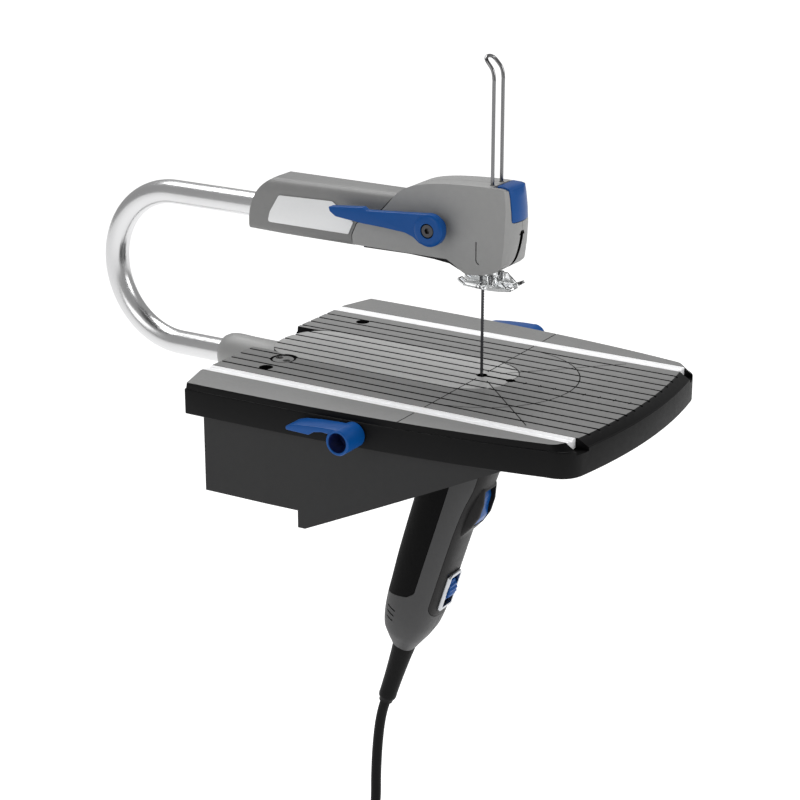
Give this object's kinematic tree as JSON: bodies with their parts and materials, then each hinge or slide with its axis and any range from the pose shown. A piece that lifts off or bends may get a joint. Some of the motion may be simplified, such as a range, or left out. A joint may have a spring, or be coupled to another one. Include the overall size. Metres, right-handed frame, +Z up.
{
  "type": "scroll saw",
  "caption": "Compact bench-edge scroll saw: slotted table on a hook-over base, tube C-frame arm with a blade head, and a leaning motor handle below with trigger, speed dial and mains lead.",
  "frame": {"origin": "centre of the flat seat under the rear of the base, which rests on a bench near its edge", "axes": "+Z up, normal to the table; -Y towards the operator; +X to the operator's right"},
  "size_m": [0.244, 0.4037, 0.6971],
  "materials": {
    "black_plastic": "fine satin moulding",
    "cast_table": "light grey satin paint on a casting",
    "cast_platform": "ground and lacquered casting",
    "aluminium": "drawn, satin anodised",
    "head_plastic": "fine spark-eroded texture",
    "sleeve_plastic": "fine spark-eroded texture",
    "handle_plastic": "fine spark-eroded texture",
    "grip_rubber": "soft moulded grip",
    "blue_plastic": "semi-gloss moulding",
    "label_silver": "printed silver",
    "bright_steel": "ground",
    "dark_steel": "blackened",
    "brass": "turned",
    "copper": "varnished winding",
    "clear_plastic": "clear moulding",
    "circuit_board": "solder mask",
    "lead_jacket": "satin PVC",
    "tie_plastic": "moulded",
    "plug_brass": "nickel plate"
  },
  "bodies": {
    "base": {"table_top": "cast_table", "base_housing": "black_plastic", "table_plug": "cast_table", "left_fence_rail": "aluminium", "right_fence_rail": "aluminium", "platform": "cast_platform", "tube_socket": "cast_platform", "frame_tube": "aluminium", "arm_sleeve": "sleeve_plastic", "label_plate": "label_silver", "head_shell_left": "head_plastic", "head_shell_right": "head_plastic", "head_under_cover": "black_plastic", "head_screw": "dark_steel", "upper_bush": "brass", "yoke_bush": "brass", "tension_spring": "dark_steel", "handle_shell_left": "handle_plastic", "handle_shell_right": "handle_plastic", "rear_grip": "grip_rubber", "front_panel": "black_plastic", "handle_screw_1": "dark_steel", "handle_screw_2": "dark_steel", "switch_body": "black_plastic", "dial_bezel": "label_silver", "speed_control_board": "circuit_board", "motor_can": "bright_steel", "front_bearing": "bright_steel", "rear_bearing": "bright_steel", "gear_axle": "bright_steel", "gear_frame": "aluminium", "strain_relief": "grip_rubber", "cord_drop": "lead_jacket", "cord_coil": "lead_jacket", "cord_tie": "tie_plastic", "cord_tail": "lead_jacket", "plug_body": "lead_jacket", "left_plug_pin": "plug_brass", "right_plug_pin": "plug_brass"},
    "left_lock": {"left_lock_lever": "blue_plastic", "left_lock_pin": "bright_steel"},
    "right_lock": {"right_lock_lever": "blue_plastic", "right_lock_pin": "bright_steel"},
    "armature": {"armature": "copper", "motor_fan": "black_plastic", "pinion": "brass"},
    "crank": {"crank_gear": "brass"},
    "blade_carriage": {"blade": "dark_steel", "upper_blade_clamp": "bright_steel", "lower_blade_clamp": "bright_steel", "upper_plunger": "bright_steel", "drive_yoke": "bright_steel"},
    "trigger": {"trigger": "blue_plastic"},
    "speed_dial": {"speed_dial": "blue_plastic"},
    "tension": {"tension_lever": "blue_plastic", "lever_screw": "dark_steel", "cam_shaft": "bright_steel"},
    "foot": {"hold_down_foot": "clear_plastic", "foot_rod": "bright_steel"},
    "release_button": {"release_button": "blue_plastic"}
  },
  "joints": [
    {"name": "blade_stroke", "type": "slide", "parent": "base", "child": "blade_carriage", "axis": [0, 0, 1], "range_m": [-0.004, 0.004], "deforming": ["tension_spring"]},
    {"name": "armature_spin", "type": "hinge", "parent": "base", "child": "armature", "pos_m": [0, -0.1, 0.019], "axis": [0, -0.3074, 0.9516], "continuous": true},
    {"name": "crank_spin", "type": "hinge", "parent": "base", "child": "crank", "pos_m": [0, -0.1, 0.019], "axis": [1, 0, 0], "continuous": true},
    {"name": "trigger_pull", "type": "slide", "parent": "base", "child": "trigger", "axis": [0, 0.9516, 0.3074], "range_m": [0, 0.004], "stiffness_N_per_m": 900, "springref_m": -0.003},
    {"name": "speed_dial_turn", "type": "hinge", "parent": "base", "child": "speed_dial", "pos_m": [0, -0.08248, -0.07623], "axis": [1, 0, 0], "range_deg": [0, 270]},
    {"name": "tension_lever_throw", "type": "hinge", "parent": "base", "child": "tension", "pos_m": [0, -0.086, 0.165], "axis": [1, 0, 0], "range_deg": [0, 110]},
    {"name": "foot_slide", "type": "slide", "parent": "base", "child": "foot", "axis": [0, 0, 1], "range_m": [-0.056, 0]},
    {"name": "release_press", "type": "slide", "parent": "base", "child": "release_button", "axis": [0, 1, 0], "range_m": [0, 0.0025], "stiffness_N_per_m": 900, "springref_m": -0.002},
    {"name": "left_lock_turn", "type": "hinge", "parent": "base", "child": "left_lock", "pos_m": [0, -0.082, 0.0598], "axis": [1, 0, 0], "range_deg": [0, 90]},
    {"name": "right_lock_turn", "type": "hinge", "parent": "base", "child": "right_lock", "pos_m": [0, -0.082, 0.0598], "axis": [1, 0, 0], "range_deg": [0, 90]}
  ],
  "couplings": [
    {"joint": "crank_spin", "follows": "armature_spin", "ratio": -0.2}
  ]
}
